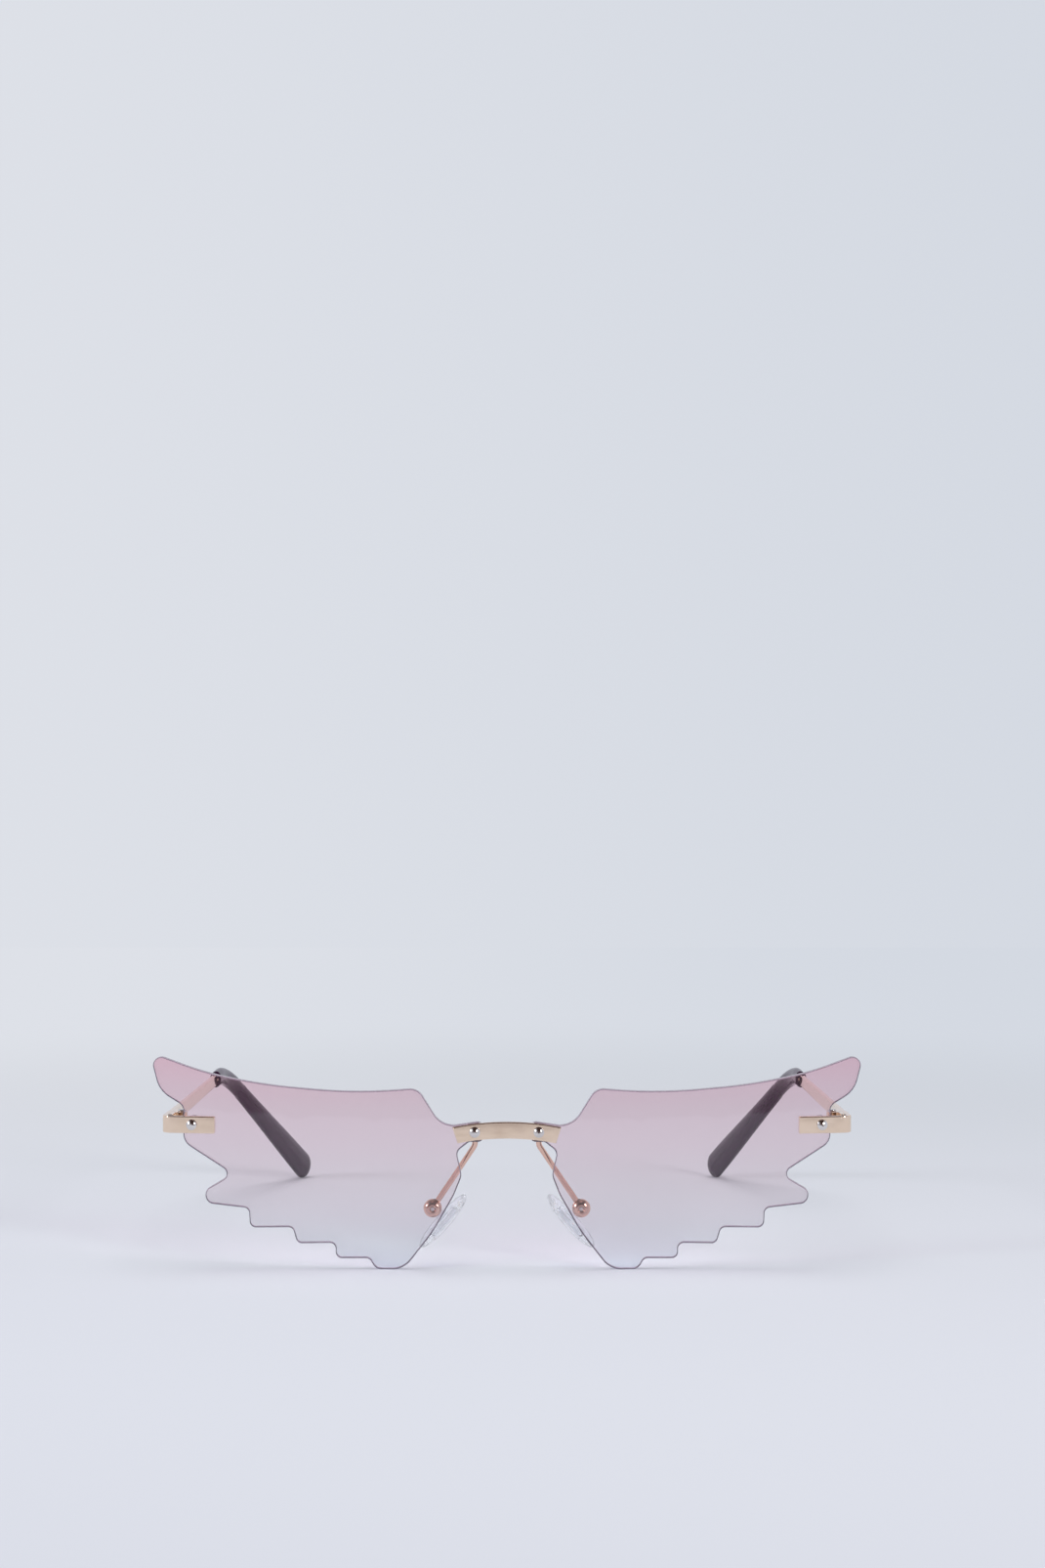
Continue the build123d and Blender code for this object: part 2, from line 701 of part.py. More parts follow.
# Nose pad: a soft oval on a clear insert, whose lug hangs on the pad screw.
pad_normal = (toward_nose * cos(splay) + backward * sin(splay)).normalized()
pad_centre = box_centre + toward_nose * pad_standoff + down_pad * pad_slide
pad_plane = Plane(origin=pad_centre, x_dir=down_pad, z_dir=pad_normal)
with BuildPart() as pad_core:
    with BuildSketch(pad_plane.offset(-core_plate_thickness / 2)):
        SlotOverall(core_plate_length, core_plate_width)
    extrude(amount=core_plate_thickness)
    with BuildSketch(box_plane.offset(-lug_thickness / 2)):
        Circle(lug_radius)
        with Locations((pad_standoff / 2, 0)):
            Rectangle(pad_standoff, 2 * lug_radius)
    extrude(amount=lug_thickness)
    with Locations(box_plane):
        Hole(radius=pad_screw_radius + fit_clearance)
write_pair(pad_core, "pad_core")

with BuildPart() as nose_pad:
    with BuildSketch(pad_plane.offset(-pad_thickness / 2)):
        Ellipse(pad_length / 2, pad_width / 2)
    extrude(amount=pad_thickness)
    fillet(nose_pad.edges(), radius=pad_edge_radius)
    add(pad_core.part, mode=Mode.SUBTRACT)
write_pair(nose_pad, "nose_pad")

print("front_y", round(front_y, 3), "pivot", pivot, "hinge height", round(endpiece_z, 3))
print("spine length", round(spine_length, 2), "drop", round(drop_length, 2))
print("box centre", box_centre, "pad centre", pad_centre)
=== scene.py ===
import json
from math import cos, pi, radians, sin

import bmesh
import bpy
from mathutils import Matrix, Vector


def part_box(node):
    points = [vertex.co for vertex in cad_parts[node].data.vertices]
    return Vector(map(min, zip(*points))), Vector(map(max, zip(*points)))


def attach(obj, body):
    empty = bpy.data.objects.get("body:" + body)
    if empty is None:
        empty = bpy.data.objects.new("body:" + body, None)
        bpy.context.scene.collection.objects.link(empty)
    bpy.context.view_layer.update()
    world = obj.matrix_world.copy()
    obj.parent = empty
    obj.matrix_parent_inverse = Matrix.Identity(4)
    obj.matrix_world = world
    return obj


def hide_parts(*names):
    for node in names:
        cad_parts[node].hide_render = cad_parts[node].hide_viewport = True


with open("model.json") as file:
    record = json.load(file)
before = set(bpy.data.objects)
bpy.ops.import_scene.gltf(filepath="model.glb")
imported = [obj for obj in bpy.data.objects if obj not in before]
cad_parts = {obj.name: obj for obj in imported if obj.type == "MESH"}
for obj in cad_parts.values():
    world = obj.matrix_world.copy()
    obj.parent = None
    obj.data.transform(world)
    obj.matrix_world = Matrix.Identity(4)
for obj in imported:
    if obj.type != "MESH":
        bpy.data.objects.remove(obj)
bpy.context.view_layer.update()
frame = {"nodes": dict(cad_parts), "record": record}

# The looks of a pair of rimless winged sunglasses, standing open on a pale floor.
# Lengths are in metres. X runs across the face, +Y from the lenses back to the ears, +Z up.

MM = 0.001
nodes = frame["nodes"]
SIDES = {"left": -1, "right": 1}
LENS_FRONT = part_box("lens_right")[0].y
LENS_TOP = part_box("lens_right")[1].z

# The camera stands in front of the lenses, a little above them, and looks slightly down
CAMERA_DISTANCE = 0.775
CAMERA_HEIGHT = 0.13725
CAMERA_SIDE = 0.0033
CAMERA_PITCH = radians(2.565)
FOCAL_LENGTH = 85.0
FILM_HEIGHT = 36.0
NEAREST_SEEN = 0.01

# The floor, and the stretches of X and of Y over which its colours blend, from the plain backdrop
# colour at the front to painted light at the back left and painted shade at the back right
FLOOR_FRONT = -1.60
FLOOR_BACK = 0.70
FLOOR_HALF_WIDTH = 1.20
FLOOR_LEFT_TO_RIGHT = (-0.20, 0.20)
FLOOR_FRONT_TO_BACK = (-0.05, 0.35)

# Polished things mirror the floor as far as the front of a pale sweep; past that the room is dim
SWEEP_FADE = -0.294
SWEEP_FRONT = -0.304

# Shadows keep this share of their depth up to one distance from the glasses, and end at the other
SHADOW_SHARE = 0.85
SHADOW_HOLD = 0.17
SHADOW_END = 0.42

# The lamps: a wide one overhead, and a small low one on each side that throws a long soft shadow
ROOF_LAMP_PLACE = (-0.05, 0.05, 1.10)
ROOF_LAMP_SIZE = (0.9, 0.7)
ROOF_LAMP_POWER = 6.1
LAMP_DISTANCE = 1.2
LAMP_RISE = radians(22.0)
LAMP_SIZE = (0.24, 0.30)
RIGHT_LAMP_TURN = radians(36.0)
RIGHT_LAMP_POWER = 5.4
LEFT_LAMP_TURN = radians(-63.0)
LEFT_LAMP_POWER = 4.2

# The room: how strongly it lights the glasses, and where its colours blend, as the share of a
# direction that lies along X, Y or Z
ROOM_STRENGTH = 0.38
LEFT_TO_RIGHT = (-0.22, 0.22)
SIDES_TO_BACK = (0.0, 0.5)
FRONT_TO_ROOF = (0.0, 0.5)
MIDDLE_TO_SIDE = (0.35, 0.75)
DIM_TO_PALE = (-0.10, 0.40)
BACKDROP_TO_ZENITH = (0.45, 0.95)

# Light that comes back from behind a lens has crossed its two faces on the way there and back
FACES_CROSSED_TWICE = 4

# How the materials vary: the middle of a noise that they use, its scale in cells a metre, how it
# is stretched, how deep its bumps are and by which shares the gloss varies
NOISE_MIDDLE = (0.3, 0.7)
METAL_CLOUD_SCALE = 180.0
METAL_MARK_SCALE = 900.0
METAL_MARK_STRETCH = (0.25, 1.0, 1.0)
METAL_BUMP = 0.0015 * MM
METAL_GLOSS_SHARES = (0.8, 1.3)
CLEAR_GRAIN_SCALE = 500.0
CLEAR_GLOSS_SHARES = (0.7, 1.3)
LENS_CLOUD_SCALE = 30.0
LENS_CLOUD_DRIFT = 0.03
TIP_SCALE = 120.0
TIP_FLOW_STRETCH = (1.0, 0.3, 1.0)
TIP_BUMP = 0.002 * MM
TIP_ROUGHNESS = (0.06, 0.09)
TIP_SPECULAR = 0.25

# A lens: its index of refraction, the share of Y in a normal from its cut edge to its face, the
# share of Z over which the edge's painted shade, where it faces down, blends into its painted light,
# where it faces up, and how much light the edge lets in
LENS_IOR = 1.5
EDGE_TO_FACE = (0.86, 0.94)
EDGE_SHADE_TO_LIGHT = (-0.2, 0.5)
EDGE_CLEARNESS = 0.35

# Softly rounded edges, smooth shading and the welding of loose faces
BEVEL_SAMPLES = 6
SMOOTH_ANGLE = radians(28.0)
WELD_DISTANCE = 0.001 * MM

# A soft nose pad: its size, how far it leans out at the bottom and how far it turns to the back
PAD_LENGTH = 15.0 * MM
PAD_WIDTH = 7.2 * MM
PAD_THICKNESS = 2.3 * MM
PAD_TILT = radians(41.0)
PAD_SPLAY = radians(12.0)
PAD_EGG = 0.10
PAD_STEPS = 32
POCKET_CLEARANCE = 0.04 * MM

# Half section of a pad from the middle of its crown round the rim to the middle of its back:
# distance from the middle as a share of the way to the rim, and height as a share of the thickness
PAD_PROFILE_SHARES = [
    (0.30, 0.490),
    (0.55, 0.455),
    (0.75, 0.385),
    (0.89, 0.260),
    (0.97, 0.110),
    (1.00, -0.040),
    (0.98, -0.190),
    (0.92, -0.320),
    (0.83, -0.400),
    (0.70, -0.420),
    (0.56, -0.380),
    (0.40, -0.340),
    (0.20, -0.330),
]
PAD_CROWN_SHARE = 0.5
PAD_HOLLOW_SHARE = -0.33

# A pad box: its bore, and the slot that the lug of the pad hangs in
BOX_BORE_RADIUS = 0.54 * MM
BOX_SLOT_WIDTH = 1.4 * MM
BOX_SLOT_REACH = 1.15 * MM
BOX_STEPS = 40

# Half section of a pad box from its bore at the front to the middle of its barrel: distance
# from the bore as a share of the wall, and place along the axis as a share of half its length
BOX_PROFILE_SHARES = [
    (0.00, 0.86),
    (0.05, 0.95),
    (0.16, 1.00),
    (0.36, 0.97),
    (0.58, 0.88),
    (0.77, 0.74),
    (0.91, 0.55),
    (0.985, 0.36),
    (1.00, 0.15),
]


def srgb(red, green, blue):
    """Linear colour of a screen colour given as 0 to 255."""
    shares = [channel / 255 for channel in (red, green, blue)]
    return tuple(s / 12.92 if s <= 0.04045 else ((s + 0.055) / 1.055) ** 2.4 for s in shares) + (1.0,)


BACKDROP = srgb(217, 220, 230)
# Painted light and shade on the floor and backdrop: lighter to the left, darker to the right
BACKDROP_LIT_LEFT = srgb(222, 225, 232)
BACKDROP_SHADED_RIGHT = srgb(212, 217, 226)
ROOM_LIGHT = srgb(242, 243, 246)
ROOM_FRONT = srgb(120, 105, 108)
ROOM_ROOF = srgb(70, 55, 50)
ROOM_ZENITH = srgb(156, 148, 152)
ROOF_LAMP_COLOUR = srgb(255, 254, 250)
RIGHT_LAMP_COLOUR = srgb(255, 253, 250)
LEFT_LAMP_COLOUR = srgb(250, 252, 255)

# The tint of a lens by the share of its height, from its feet to its brow
LENS_TINTS = [
    (0.00, srgb(228, 234, 238)),
    (0.12, srgb(233, 234, 237)),
    (0.25, srgb(237, 231, 235)),
    (0.42, srgb(240, 229, 233)),
    (0.60, srgb(243, 225, 231)),
    (0.76, srgb(244, 222, 229)),
    (0.88, srgb(245, 216, 225)),
    (1.00, srgb(245, 207, 218)),
]

# The cut edge of a lens, with painted shade where it looks down and painted light where it looks up,
# and what lamps throw through
LENS_EDGE_PAINTED_SHADE = srgb(102, 101, 114)
LENS_EDGE_PAINTED_LIGHT = srgb(152, 133, 149)
LENS_EDGE_SHADE = srgb(170, 160, 170)
LENS_FACE_SHADE = srgb(225, 212, 222)

# The colour of a temple tip by the height of its noise
TIP_TINTS = [
    (0.35, srgb(42, 15, 42)),
    (0.65, srgb(48, 20, 48)),
]


class Nodes:
    """A node tree with a short way to add and wire its nodes."""

    def __init__(self, tree):
        self.tree = tree
        self.tree.nodes.clear()

    def add(self, kind, **settings):
        node = self.tree.nodes.new(kind)
        for name, value in settings.items():
            setattr(node, name, value)
        return node

    def set(self, node, name, value):
        """Wire an input to an output, or give it a value. A name such as #1 is its place in the row."""
        socket = node.inputs[int(name[1:])] if name[0] == "#" else node.inputs[name]
        if isinstance(value, bpy.types.NodeSocket):
            self.tree.links.new(value, socket)
        else:
            socket.default_value = value

    def math(self, operation, *values):
        node = self.add("ShaderNodeMath", operation=operation)
        for index, value in enumerate(values):
            self.set(node, f"#{index}", value)
        return node.outputs[0]

    def ramp(self, factor, stops):
        node = self.add("ShaderNodeValToRGB")
        elements = node.color_ramp.elements
        while len(elements) < len(stops):
            elements.new(0.5)
        for element, (position, colour) in zip(elements, stops):
            element.position = position
            element.color = colour
        self.set(node, "Fac", factor)
        return node.outputs["Color"]

    def mix(self, factor, first, second):
        """The first colour where the factor is 0, and the second where it is 1."""
        node = self.add("ShaderNodeMix", data_type="RGBA")
        self.set(node, "#0", factor)
        self.set(node, "#6", first)
        self.set(node, "#7", second)
        return node.outputs[2]

    def mix_shaders(self, factor, first, second):
        """The first shader where the factor is 0, and the second where it is 1."""
        node = self.add("ShaderNodeMixShader")
        self.set(node, "Fac", factor)
        self.set(node, "#1", first)
        self.set(node, "#2", second)
        return node.outputs["Shader"]

    def spread(self, value, low, high, to_low=0.0, to_high=1.0):
        """A smooth step from one number to another while the value runs from low to high."""
        node = self.add("ShaderNodeMapRange", interpolation_type="SMOOTHSTEP")
        for name, number in (("From Min", low), ("From Max", high), ("To Min", to_low), ("To Max", to_high)):
            node.inputs[name].default_value = number
        self.set(node, "Value", value)
        return node.outputs["Result"]

    def noise(self, scale, detail=2.0, stretch=(1.0, 1.0, 1.0)):
        mapping = self.add("ShaderNodeMapping")
        mapping.inputs["Scale"].default_value = stretch
        self.set(mapping, "Vector", self.add("ShaderNodeTexCoord").outputs["Object"])
        texture = self.add("ShaderNodeTexNoise")
        texture.inputs["Scale"].default_value = scale
        texture.inputs["Detail"].default_value = detail
        self.set(texture, "Vector", mapping.outputs["Vector"])
        return texture.outputs["Fac"]

    def split(self, source):
        """X, Y and Z of one of the texture coordinates."""
        parts = self.add("ShaderNodeSeparateXYZ")
        self.set(parts, "Vector", self.add("ShaderNodeTexCoord").outputs[source])
        return parts.outputs

    def bump(self, height, distance, under=None):
        node = self.add("ShaderNodeBump")
        node.inputs["Distance"].default_value = distance
        self.set(node, "Height", height)
        if under:
            self.set(node, "Normal", under)
        return node.outputs["Normal"]

    def soft_edges(self, radius):
        """Normals that run round the edges of a piece as if they were rounded."""
        node = self.add("ShaderNodeBevel", samples=BEVEL_SAMPLES)
        node.inputs["Radius"].default_value = radius
        return node.outputs["Normal"]

    def end(self, surface, kind="ShaderNodeOutputMaterial"):
        self.set(self.add(kind), "Surface", surface)


def new_material(name):
    material = bpy.data.materials.new(name)
    material.use_nodes = True
    return material, Nodes(material.node_tree)


def lamps_pass(net, shader, tint):
    """The shader, but light from lamps passes straight through it and takes its tint."""
    pane = net.add("ShaderNodeBsdfTransparent")
    net.set(pane, "Color", tint)
    path = net.add("ShaderNodeLightPath")
    return net.mix_shaders(path.outputs["Is Shadow Ray"], shader, pane.outputs["BSDF"])


def tint_and_gloss(net, shader, tint_noise, gloss_noise, tints, roughness, shares):
    """Vary the colour of a shader between two tints, and its roughness between two shares of it."""
    low, high = NOISE_MIDDLE
    least, most = shares
    net.set(shader, "Base Color", net.ramp(tint_noise, [(low, tints[0]), (high, tints[1])]))
    net.set(shader, "Roughness", net.spread(gloss_noise, low, high, roughness * least, roughness * most))


def metal(name, pale, deep, roughness, edge):
    """Polished plating with softly rounded edges, whose colour and gloss vary a little."""
    material, net = new_material(name)
    cloud = net.noise(METAL_CLOUD_SCALE, detail=3.0)
    marks = net.noise(METAL_MARK_SCALE, stretch=METAL_MARK_STRETCH)
    shader = net.add("ShaderNodeBsdfPrincipled")
    tint_and_gloss(net, shader, cloud, marks, (deep, pale), roughness, METAL_GLOSS_SHARES)
    shader.inputs["Metallic"].default_value = 1.0
    net.set(shader, "Normal", net.bump(marks, METAL_BUMP, net.soft_edges(edge)))
    net.end(shader.outputs["BSDF"])
    return material


def clear(name, pale, deep, roughness, ior, body):
    """Clear plastic whose tint and gloss vary a little. Body is how plainly it shows."""
    material, net = new_material(name)
    shader = net.add("ShaderNodeBsdfPrincipled")
    grain = net.noise(CLEAR_GRAIN_SCALE)
    tint_and_gloss(net, shader, grain, grain, (pale, deep), roughness, CLEAR_GLOSS_SHARES)
    shader.inputs["Transmission Weight"].default_value = 1.0
    shader.inputs["IOR"].default_value = ior
    shader.inputs["Alpha"].default_value = body
    net.end(lamps_pass(net, shader.outputs["BSDF"], pale))
    return material


def lens_material():
    """Polished tinted plastic: dusty pink at the brow, lilac below it, blue grey at the feathers.

    The cut edge all round, with its two small bevels, is a satin mauve line, with painted shade
    where it faces down and painted light where it faces up.
    """
    material, net = new_material("lens_tint")
    level = net.math("DIVIDE", net.split("Object")["Z"], LENS_TOP)
    cloud = net.math("SUBTRACT", net.noise(LENS_CLOUD_SCALE, detail=1.0), 0.5)
    drift = net.math("MULTIPLY", cloud, LENS_CLOUD_DRIFT)
    tint = net.ramp(net.math("ADD", level, drift), LENS_TINTS)
    normal = net.split("Normal")
    face = net.spread(net.math("ABSOLUTE", normal["Y"]), *EDGE_TO_FACE)
    # Painted light and shade: the cut edge is coloured darker where it faces down and lighter where it faces
    # up
    cut_edge_with_painted_shade = net.mix(net.spread(normal["Z"], *EDGE_SHADE_TO_LIGHT), LENS_EDGE_PAINTED_SHADE, LENS_EDGE_PAINTED_LIGHT)
    clearness = net.math("MULTIPLY_ADD", face, 1.0 - EDGE_CLEARNESS, EDGE_CLEARNESS)
    shader = net.add("ShaderNodeBsdfPrincipled")
    net.set(shader, "Base Color", net.mix(face, cut_edge_with_painted_shade, tint))
    net.set(shader, "Transmission Weight", clearness)
    shader.inputs["Roughness"].default_value = 0.0
    shader.inputs["IOR"].default_value = LENS_IOR
    shade = net.mix(face, LENS_EDGE_SHADE, LENS_FACE_SHADE)
    net.end(lamps_pass(net, shader.outputs["BSDF"], shade))
    return material


def tip_material():
    """Glossy plum black plastic, with a faint flow of lighter colour in it."""
    material, net = new_material("tip_plastic")
    flow = net.noise(TIP_SCALE, detail=3.0, stretch=TIP_FLOW_STRETCH)
    shader = net.add("ShaderNodeBsdfPrincipled")
    net.set(shader, "Base Color", net.ramp(flow, TIP_TINTS))
    net.set(shader, "Roughness", net.spread(flow, *NOISE_MIDDLE, *TIP_ROUGHNESS))
    net.set(shader, "Normal", net.bump(net.noise(TIP_SCALE, detail=0.0), TIP_BUMP))
    shader.inputs["Specular IOR Level"].default_value = TIP_SPECULAR
    net.end(shader.outputs["BSDF"])
    return material


def looking(net):
    """One for rays that only look at the surroundings, and zero for those that carry light."""
    path = net.add("ShaderNodeLightPath").outputs
    share = net.math("MAXIMUM", path["Is Camera Ray"], path["Is Glossy Ray"])
    return net.math("MAXIMUM", share, path["Is Transmission Ray"])


def at_least(net, depth, count):
    """One where a ray has met a kind of surface so many times or more."""
    return net.math("GREATER_THAN", depth, count - 0.5)


def mirrored(net):
    """One for rays that polished metal or plastic has thrown back, in front of a lens or behind it.

    Rays that only turned round inside a lens have crossed its faces twice at most, and don't count.
    """
    path = net.add("ShaderNodeLightPath").outputs
    bare = net.math("MULTIPLY", path["Is Glossy Ray"], net.math("SUBTRACT", 1.0, path["Is Transmission Ray"]))
    crossed = at_least(net, path["Transmission Depth"], FACES_CROSSED_TWICE)
    behind = net.math("MULTIPLY", at_least(net, path["Glossy Depth"], 1), crossed)
    return net.math("MAXIMUM", bare, behind)


def floor_material():
    """Pale matt floor that keeps the shadows near the glasses and fades to the backdrop."""
    material, net = new_material("floor")
    place = net.split("Object")
    # Painted light and shade: towards the back the floor is coloured lighter at the left and darker at the
    # right
    aside = net.spread(place["X"], *FLOOR_LEFT_TO_RIGHT)
    back = net.spread(place["Y"], *FLOOR_FRONT_TO_BACK)
    colour = net.mix(back, BACKDROP, net.mix(aside, BACKDROP_LIT_LEFT, BACKDROP_SHADED_RIGHT))
    offset = net.add("ShaderNodeVectorMath", operation="LENGTH")
    net.set(offset, "#0", net.add("ShaderNodeTexCoord").outputs["Object"])
    near = net.spread(offset.outputs["Value"], SHADOW_HOLD, SHADOW_END, SHADOW_SHARE, 0.0)
    dimmed = net.math("MULTIPLY", mirrored(net), net.spread(place["Y"], SWEEP_FADE, SWEEP_FRONT))
    colour = net.mix(dimmed, colour, ROOM_FRONT)
    matt = net.add("ShaderNodeBsdfDiffuse")
    net.set(matt, "Color", colour)
    flat = net.add("ShaderNodeEmission")
    net.set(flat, "Color", colour)
    shown = net.math("MULTIPLY", looking(net), net.math("SUBTRACT", 1.0, near))
    net.end(net.mix_shaders(shown, matt.outputs["BSDF"], flat.outputs["Emission"]))
    return material


def make_floor():
    corners = [
        (-FLOOR_HALF_WIDTH, FLOOR_FRONT, 0.0),
        (FLOOR_HALF_WIDTH, FLOOR_FRONT, 0.0),
        (FLOOR_HALF_WIDTH, FLOOR_BACK, 0.0),
        (-FLOOR_HALF_WIDTH, FLOOR_BACK, 0.0),
    ]
    mesh = bpy.data.meshes.new("floor")
    mesh.from_pydata(corners, [], [(0, 1, 2, 3)])
    mesh.materials.append(floor_material())
    floor = bpy.data.objects.new("floor", mesh)
    bpy.context.scene.collection.objects.link(floor)


def make_world():
    """Pale to the eye and through glass; polished things also mirror a dim roof and front."""
    world = bpy.data.worlds.new("studio")
    world.use_nodes = True
    bpy.context.scene.world = world
    net = Nodes(world.node_tree)
    toward = net.split("Generated")
    # Painted light and shade: the room as the eye sees it is lighter to the left and darker to the right,
    # plain in front
    plain = net.mix(net.spread(toward["X"], *LEFT_TO_RIGHT), BACKDROP_LIT_LEFT, BACKDROP_SHADED_RIGHT)
    plain = net.mix(net.spread(toward["Y"], *SIDES_TO_BACK), BACKDROP, plain)
    dim = net.mix(net.spread(toward["Z"], *FRONT_TO_ROOF), ROOM_FRONT, ROOM_ROOF)
    aside = net.spread(net.math("ABSOLUTE", toward["X"]), *MIDDLE_TO_SIDE)
    pale = net.math("MAXIMUM", aside, net.spread(toward["Y"], *DIM_TO_PALE))
    sky = net.mix(net.spread(toward["Z"], *BACKDROP_TO_ZENITH), BACKDROP, ROOM_ZENITH)
    lit = net.add("ShaderNodeBackground")
    net.set(lit, "Color", ROOM_LIGHT)
    net.set(lit, "Strength", ROOM_STRENGTH)
    seen = net.add("ShaderNodeBackground")
    net.set(seen, "Color", net.mix(mirrored(net), plain, net.mix(pale, dim, sky)))
    net.end(net.mix_shaders(looking(net), lit.outputs[0], seen.outputs[0]), "ShaderNodeOutputWorld")


def softbox(name, place, size, power, colour):
    """A rectangular lamp that points at the glasses."""
    lamp = bpy.data.lights.new(name, "AREA")
    lamp.shape = "RECTANGLE"
    lamp.size, lamp.size_y = size
    lamp.energy = power
    lamp.color = colour[:3]
    holder = bpy.data.objects.new(name, lamp)
    bpy.context.scene.collection.objects.link(holder)
    holder.location = place
    holder.rotation_euler = (-place).to_track_quat("-Z", "Y").to_euler()
    return holder


def low_place(turn):
    """Where a low lamp stands, turned to the right of straight in front of the glasses."""
    level = LAMP_DISTANCE * cos(LAMP_RISE)
    return Vector((level * sin(turn), -level * cos(turn), LAMP_DISTANCE * sin(LAMP_RISE)))


def make_lamps():
    roof = softbox("softbox_top", Vector(ROOF_LAMP_PLACE), ROOF_LAMP_SIZE, ROOF_LAMP_POWER, ROOF_LAMP_COLOUR)
    roof.visible_glossy = False
    softbox("softbox_right", low_place(RIGHT_LAMP_TURN), LAMP_SIZE, RIGHT_LAMP_POWER, RIGHT_LAMP_COLOUR)
    softbox("softbox_left", low_place(LEFT_LAMP_TURN), LAMP_SIZE, LEFT_LAMP_POWER, LEFT_LAMP_COLOUR)


def make_camera():
    data = bpy.data.cameras.new("camera")
    data.sensor_fit = "VERTICAL"
    data.sensor_height = FILM_HEIGHT
    data.lens = FOCAL_LENGTH
    data.clip_start = NEAREST_SEEN
    camera = bpy.data.objects.new("camera", data)
    bpy.context.scene.collection.objects.link(camera)
    camera.location = (CAMERA_SIDE, LENS_FRONT - CAMERA_DISTANCE, CAMERA_HEIGHT)
    camera.rotation_euler = (pi / 2 - CAMERA_PITCH, 0.0, 0.0)
    bpy.context.scene.camera = camera


def edge_group(angle):
    """A modifier group that shades a surface smooth, but keeps edges over an angle sharp."""
    group = bpy.data.node_groups.new("smooth_under_angle", "GeometryNodeTree")
    group.interface.new_socket("Geometry", in_out="INPUT", socket_type="NodeSocketGeometry")
    group.interface.new_socket("Geometry", in_out="OUTPUT", socket_type="NodeSocketGeometry")
    start = group.nodes.new("NodeGroupInput")
    end = group.nodes.new("NodeGroupOutput")
    faces = group.nodes.new("GeometryNodeSetShadeSmooth")
    faces.domain = "FACE"
    turn = group.nodes.new("GeometryNodeInputMeshEdgeAngle")
    sharp = group.nodes.new("FunctionNodeCompare")
    sharp.data_type = "FLOAT"
    sharp.operation = "GREATER_THAN"
    sharp.inputs[1].default_value = angle
    edges = group.nodes.new("GeometryNodeSetShadeSmooth")
    edges.domain = "EDGE"
    edges.inputs["Shade Smooth"].default_value = False
    link = group.links.new
    link(start.outputs[0], faces.inputs["Geometry"])
    link(faces.outputs[0], edges.inputs["Geometry"])
    link(turn.outputs["Unsigned Angle"], sharp.inputs[0])
    link(sharp.outputs[0], edges.inputs["Selection"])
    link(edges.outputs[0], end.inputs[0])
    return group


def add_weld(piece):
    weld = piece.modifiers.new("weld", "WELD")
    weld.merge_threshold = WELD_DISTANCE


def add_smooth(piece, shading):
    smooth = piece.modifiers.new("smooth", "NODES")
    smooth.node_group = shading


def dress(node, material, shading):
    """Give a CAD node its material and smooth shading, without touching its mesh."""
    piece = nodes[node]
    for holder in piece.material_slots:
        holder.link = "OBJECT"
        holder.material = material
    add_weld(piece)
    add_smooth(piece, shading)


def make_materials():
    gold = (srgb(244, 221, 199), srgb(237, 213, 189))
    rose = (srgb(236, 200, 184), srgb(226, 186, 168))
    nickel = (srgb(228, 224, 222), srgb(214, 209, 206))
    plastic = (srgb(240, 241, 245), srgb(232, 233, 240))
    silicone = (srgb(246, 247, 250), srgb(240, 241, 247))
    return {
        "gold_metal": metal("gold_metal", *gold, roughness=0.07, edge=0.22 * MM),
        "rose_metal": metal("rose_metal", *rose, roughness=0.07, edge=0.20 * MM),
        "polished_screws": metal("polished_screws", *nickel, roughness=0.05, edge=0.08 * MM),
        "clear_plastic": clear("clear_plastic", *plastic, roughness=0.02, ior=1.40, body=0.5),
        "lens_tint": lens_material(),
        "tip_plastic": tip_material(),
        "pad_silicone": clear("pad_silicone", *silicone, roughness=0.04, ior=1.36, body=0.45),
    }


def made_mesh(piece):
    """The mesh of a piece with its modifiers applied."""
    bpy.context.view_layer.update()
    shape = piece.evaluated_get(bpy.context.evaluated_depsgraph_get())
    return bpy.data.meshes.new_from_object(shape)


def middle_frame(node, along, normal):
    """Frame in the middle of a CAD node, with its own X and Z in the given directions."""
    low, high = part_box(node)
    turn = Matrix((along, normal.cross(along), normal)).transposed().to_4x4()
    return Matrix.Translation((low + high) / 2) @ turn


def pad_directions(side):
    """Down the length of a pad, and from its pad box towards the nose."""
    sign = SIDES[side]
    down = Vector((sign * sin(PAD_TILT), 0.0, -cos(PAD_TILT)))
    inward = Vector((-sign * cos(PAD_TILT), 0.0, -sin(PAD_TILT)))
    return down, inward


def new_piece(name, shape, matrix, material):
    """An object made from a finished bmesh."""
    shape.transform(matrix)
    mesh = bpy.data.meshes.new(name)
    shape.to_mesh(mesh)
    shape.free()
    mesh.materials.append(material)
    piece = bpy.data.objects.new(name, mesh)
    bpy.context.scene.collection.objects.link(piece)
    return piece


def carve(piece, cutter):
    """Round a piece off by one subdivision, cut another out of it and delete the cutter."""
    round_off = piece.modifiers.new("round", "SUBSURF")
    round_off.levels = 1
    round_off.render_levels = 1
    pocket = piece.modifiers.new("pocket", "BOOLEAN")
    pocket.operation = "DIFFERENCE"
    pocket.object = cutter
    finished = made_mesh(piece)
    piece.modifiers.clear()
    piece.data = finished
    bpy.data.objects.remove(cutter)


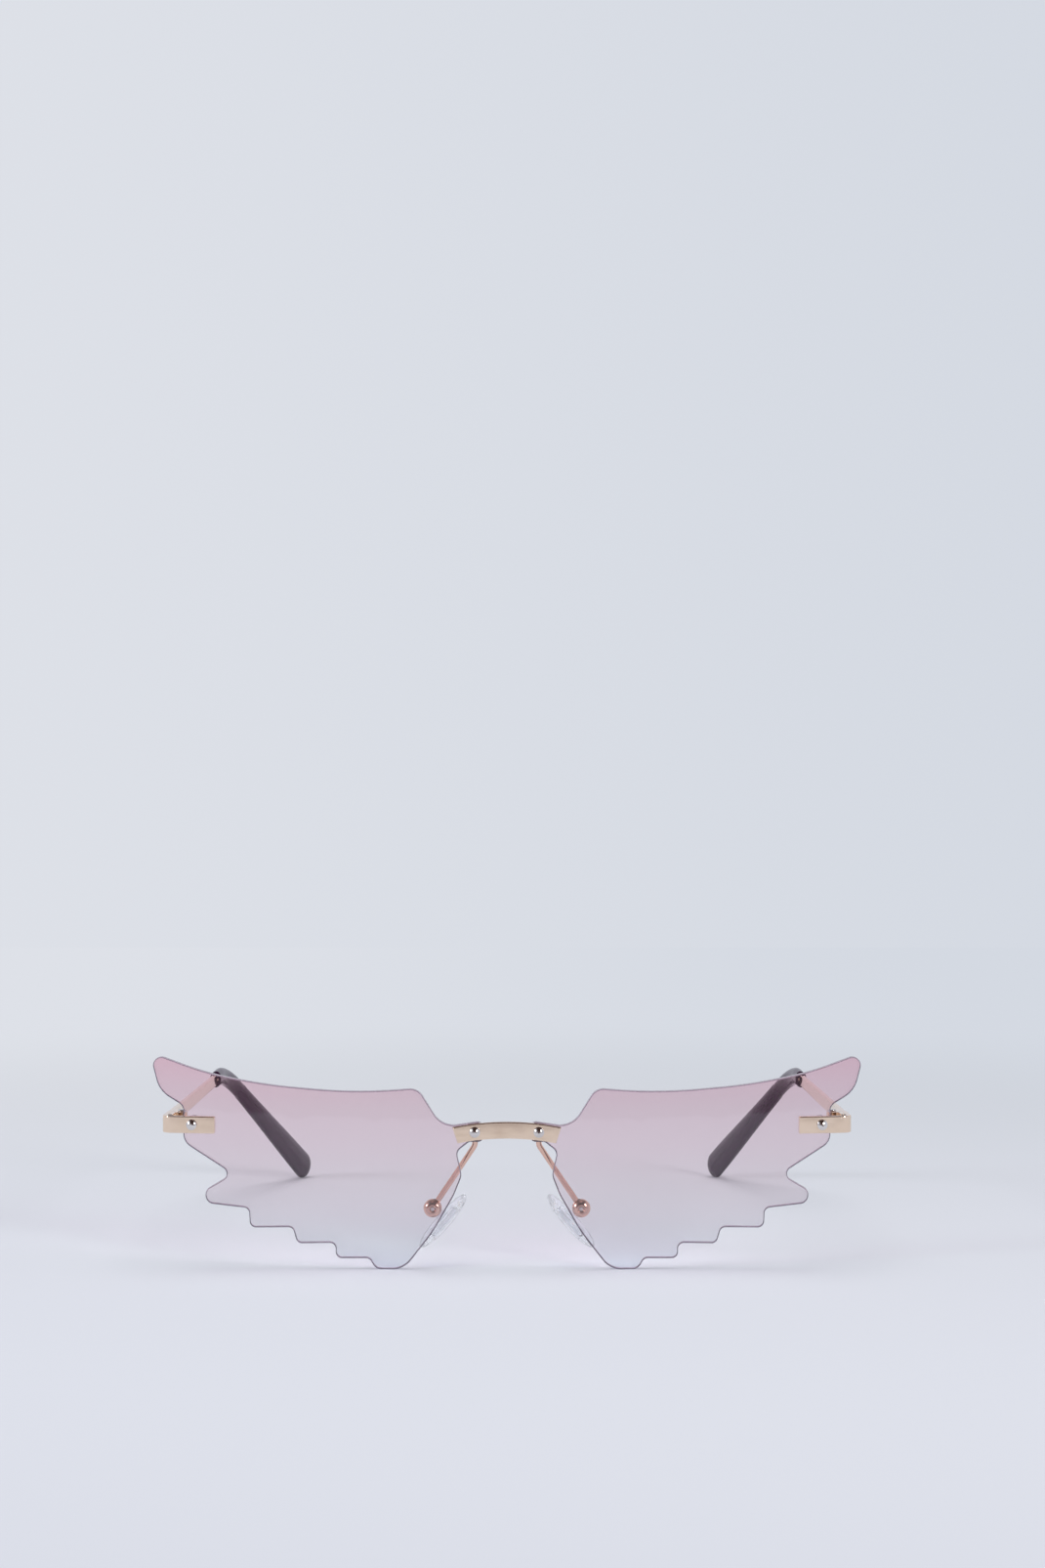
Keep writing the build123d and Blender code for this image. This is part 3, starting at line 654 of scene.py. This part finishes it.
def pad_shape():
    """Closed pillow, wider at its lower end, crowned on one side and dished on the other."""
    shape = bmesh.new()
    crown = shape.verts.new((0.0, 0.0, PAD_CROWN_SHARE * PAD_THICKNESS))
    hollow = shape.verts.new((0.0, 0.0, PAD_HOLLOW_SHARE * PAD_THICKNESS))
    rings = []
    for reach, height in PAD_PROFILE_SHARES:
        ring = []
        for step in range(PAD_STEPS):
            angle = 2 * pi * step / PAD_STEPS
            across = PAD_WIDTH / 2 * sin(angle) * (1 + PAD_EGG * (cos(angle) - 1) / 2)
            along = PAD_LENGTH / 2 * cos(angle)
            ring.append(shape.verts.new((reach * along, reach * across, height * PAD_THICKNESS)))
        rings.append(ring)
    for step in range(PAD_STEPS):
        after = (step + 1) % PAD_STEPS
        shape.faces.new((crown, rings[0][step], rings[0][after]))
        shape.faces.new((hollow, rings[-1][after], rings[-1][step]))
        for upper, lower in zip(rings, rings[1:]):
            shape.faces.new((upper[step], lower[step], lower[after], upper[after]))
    return shape


def swollen_core(side):
    """The core of a pad, a little larger all round, to cut its pocket with."""
    cutter = bpy.data.objects.new("pocket", nodes["pad_core_" + side].data.copy())
    bpy.context.scene.collection.objects.link(cutter)
    add_weld(cutter)
    swell = cutter.modifiers.new("swell", "DISPLACE")
    swell.mid_level = 0.0
    swell.strength = POCKET_CLEARANCE
    return cutter


def make_pad(side, material, shading):
    """Soft silicone pad on its clear core, in place of the plain solid."""
    down, inward = pad_directions(side)
    nose = inward * cos(PAD_SPLAY) + Vector((0.0, sin(PAD_SPLAY), 0.0))
    matrix = middle_frame("nose_pad_" + side, down, nose)
    pad = new_piece("silicone_pad_" + side, pad_shape(), matrix, material)
    carve(pad, swollen_core(side))
    add_smooth(pad, shading)
    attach(pad, "pad_" + side)
    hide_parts("nose_pad_" + side)


def box_shape(radius, half_length):
    """Round cup with domed ends and a bore along its Z."""
    shape = bmesh.new()
    wall = radius - BOX_BORE_RADIUS
    front = [(BOX_BORE_RADIUS + share * wall, end * half_length) for share, end in BOX_PROFILE_SHARES]
    section = front + [(distance, -height) for distance, height in reversed(front)]
    turns = [2 * pi * step / BOX_STEPS for step in range(BOX_STEPS)]
    rings = [[shape.verts.new((d * cos(a), d * sin(a), h)) for d, h in section] for a in turns]
    for ring, after in zip(rings, rings[1:] + rings[:1]):
        for point in range(len(section)):
            shape.faces.new((ring[point - 1], ring[point], after[point], after[point - 1]))
    bmesh.ops.recalc_face_normals(shape, faces=shape.faces)
    return shape


def slot_shape(radius):
    """Block as wide as the slot of a pad box, from its closed end out past the rim."""
    shape = bmesh.new()
    bmesh.ops.create_cube(shape, size=1.0)
    past_rim = 2 * radius
    bmesh.ops.translate(shape, verts=shape.verts, vec=(0.5, 0.0, 0.0))
    bmesh.ops.scale(shape, verts=shape.verts, vec=(past_rim + BOX_SLOT_REACH, 2 * past_rim, BOX_SLOT_WIDTH))
    bmesh.ops.translate(shape, verts=shape.verts, vec=(-BOX_SLOT_REACH, 0.0, 0.0))
    return shape


def make_box(side, material, shading):
    """Pad box with domed ends, in place of the plainer solid."""
    low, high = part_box("pad_box_" + side)
    radius = (high.x - low.x) / 2
    inward = pad_directions(side)[1]
    matrix = middle_frame("pad_box_" + side, inward, Vector((0.0, -1.0, 0.0)))
    box = new_piece("domed_box_" + side, box_shape(radius, (high.y - low.y) / 2), matrix, material)
    carve(box, new_piece("slot", slot_shape(radius), matrix, material))
    add_smooth(box, shading)
    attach(box, "frame")
    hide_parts("pad_box_" + side)


def dress_all():
    shading = edge_group(SMOOTH_ANGLE)
    materials = make_materials()
    for part in frame["record"]["subparts"]:
        dress(part["node"], materials[part["material_slot"]], shading)
    for side in SIDES:
        make_pad(side, materials["pad_silicone"], shading)
        make_box(side, materials["rose_metal"], shading)


dress_all()
make_floor()
make_world()
make_lamps()
make_camera()

bpy.context.scene.view_settings.view_transform = "Standard"
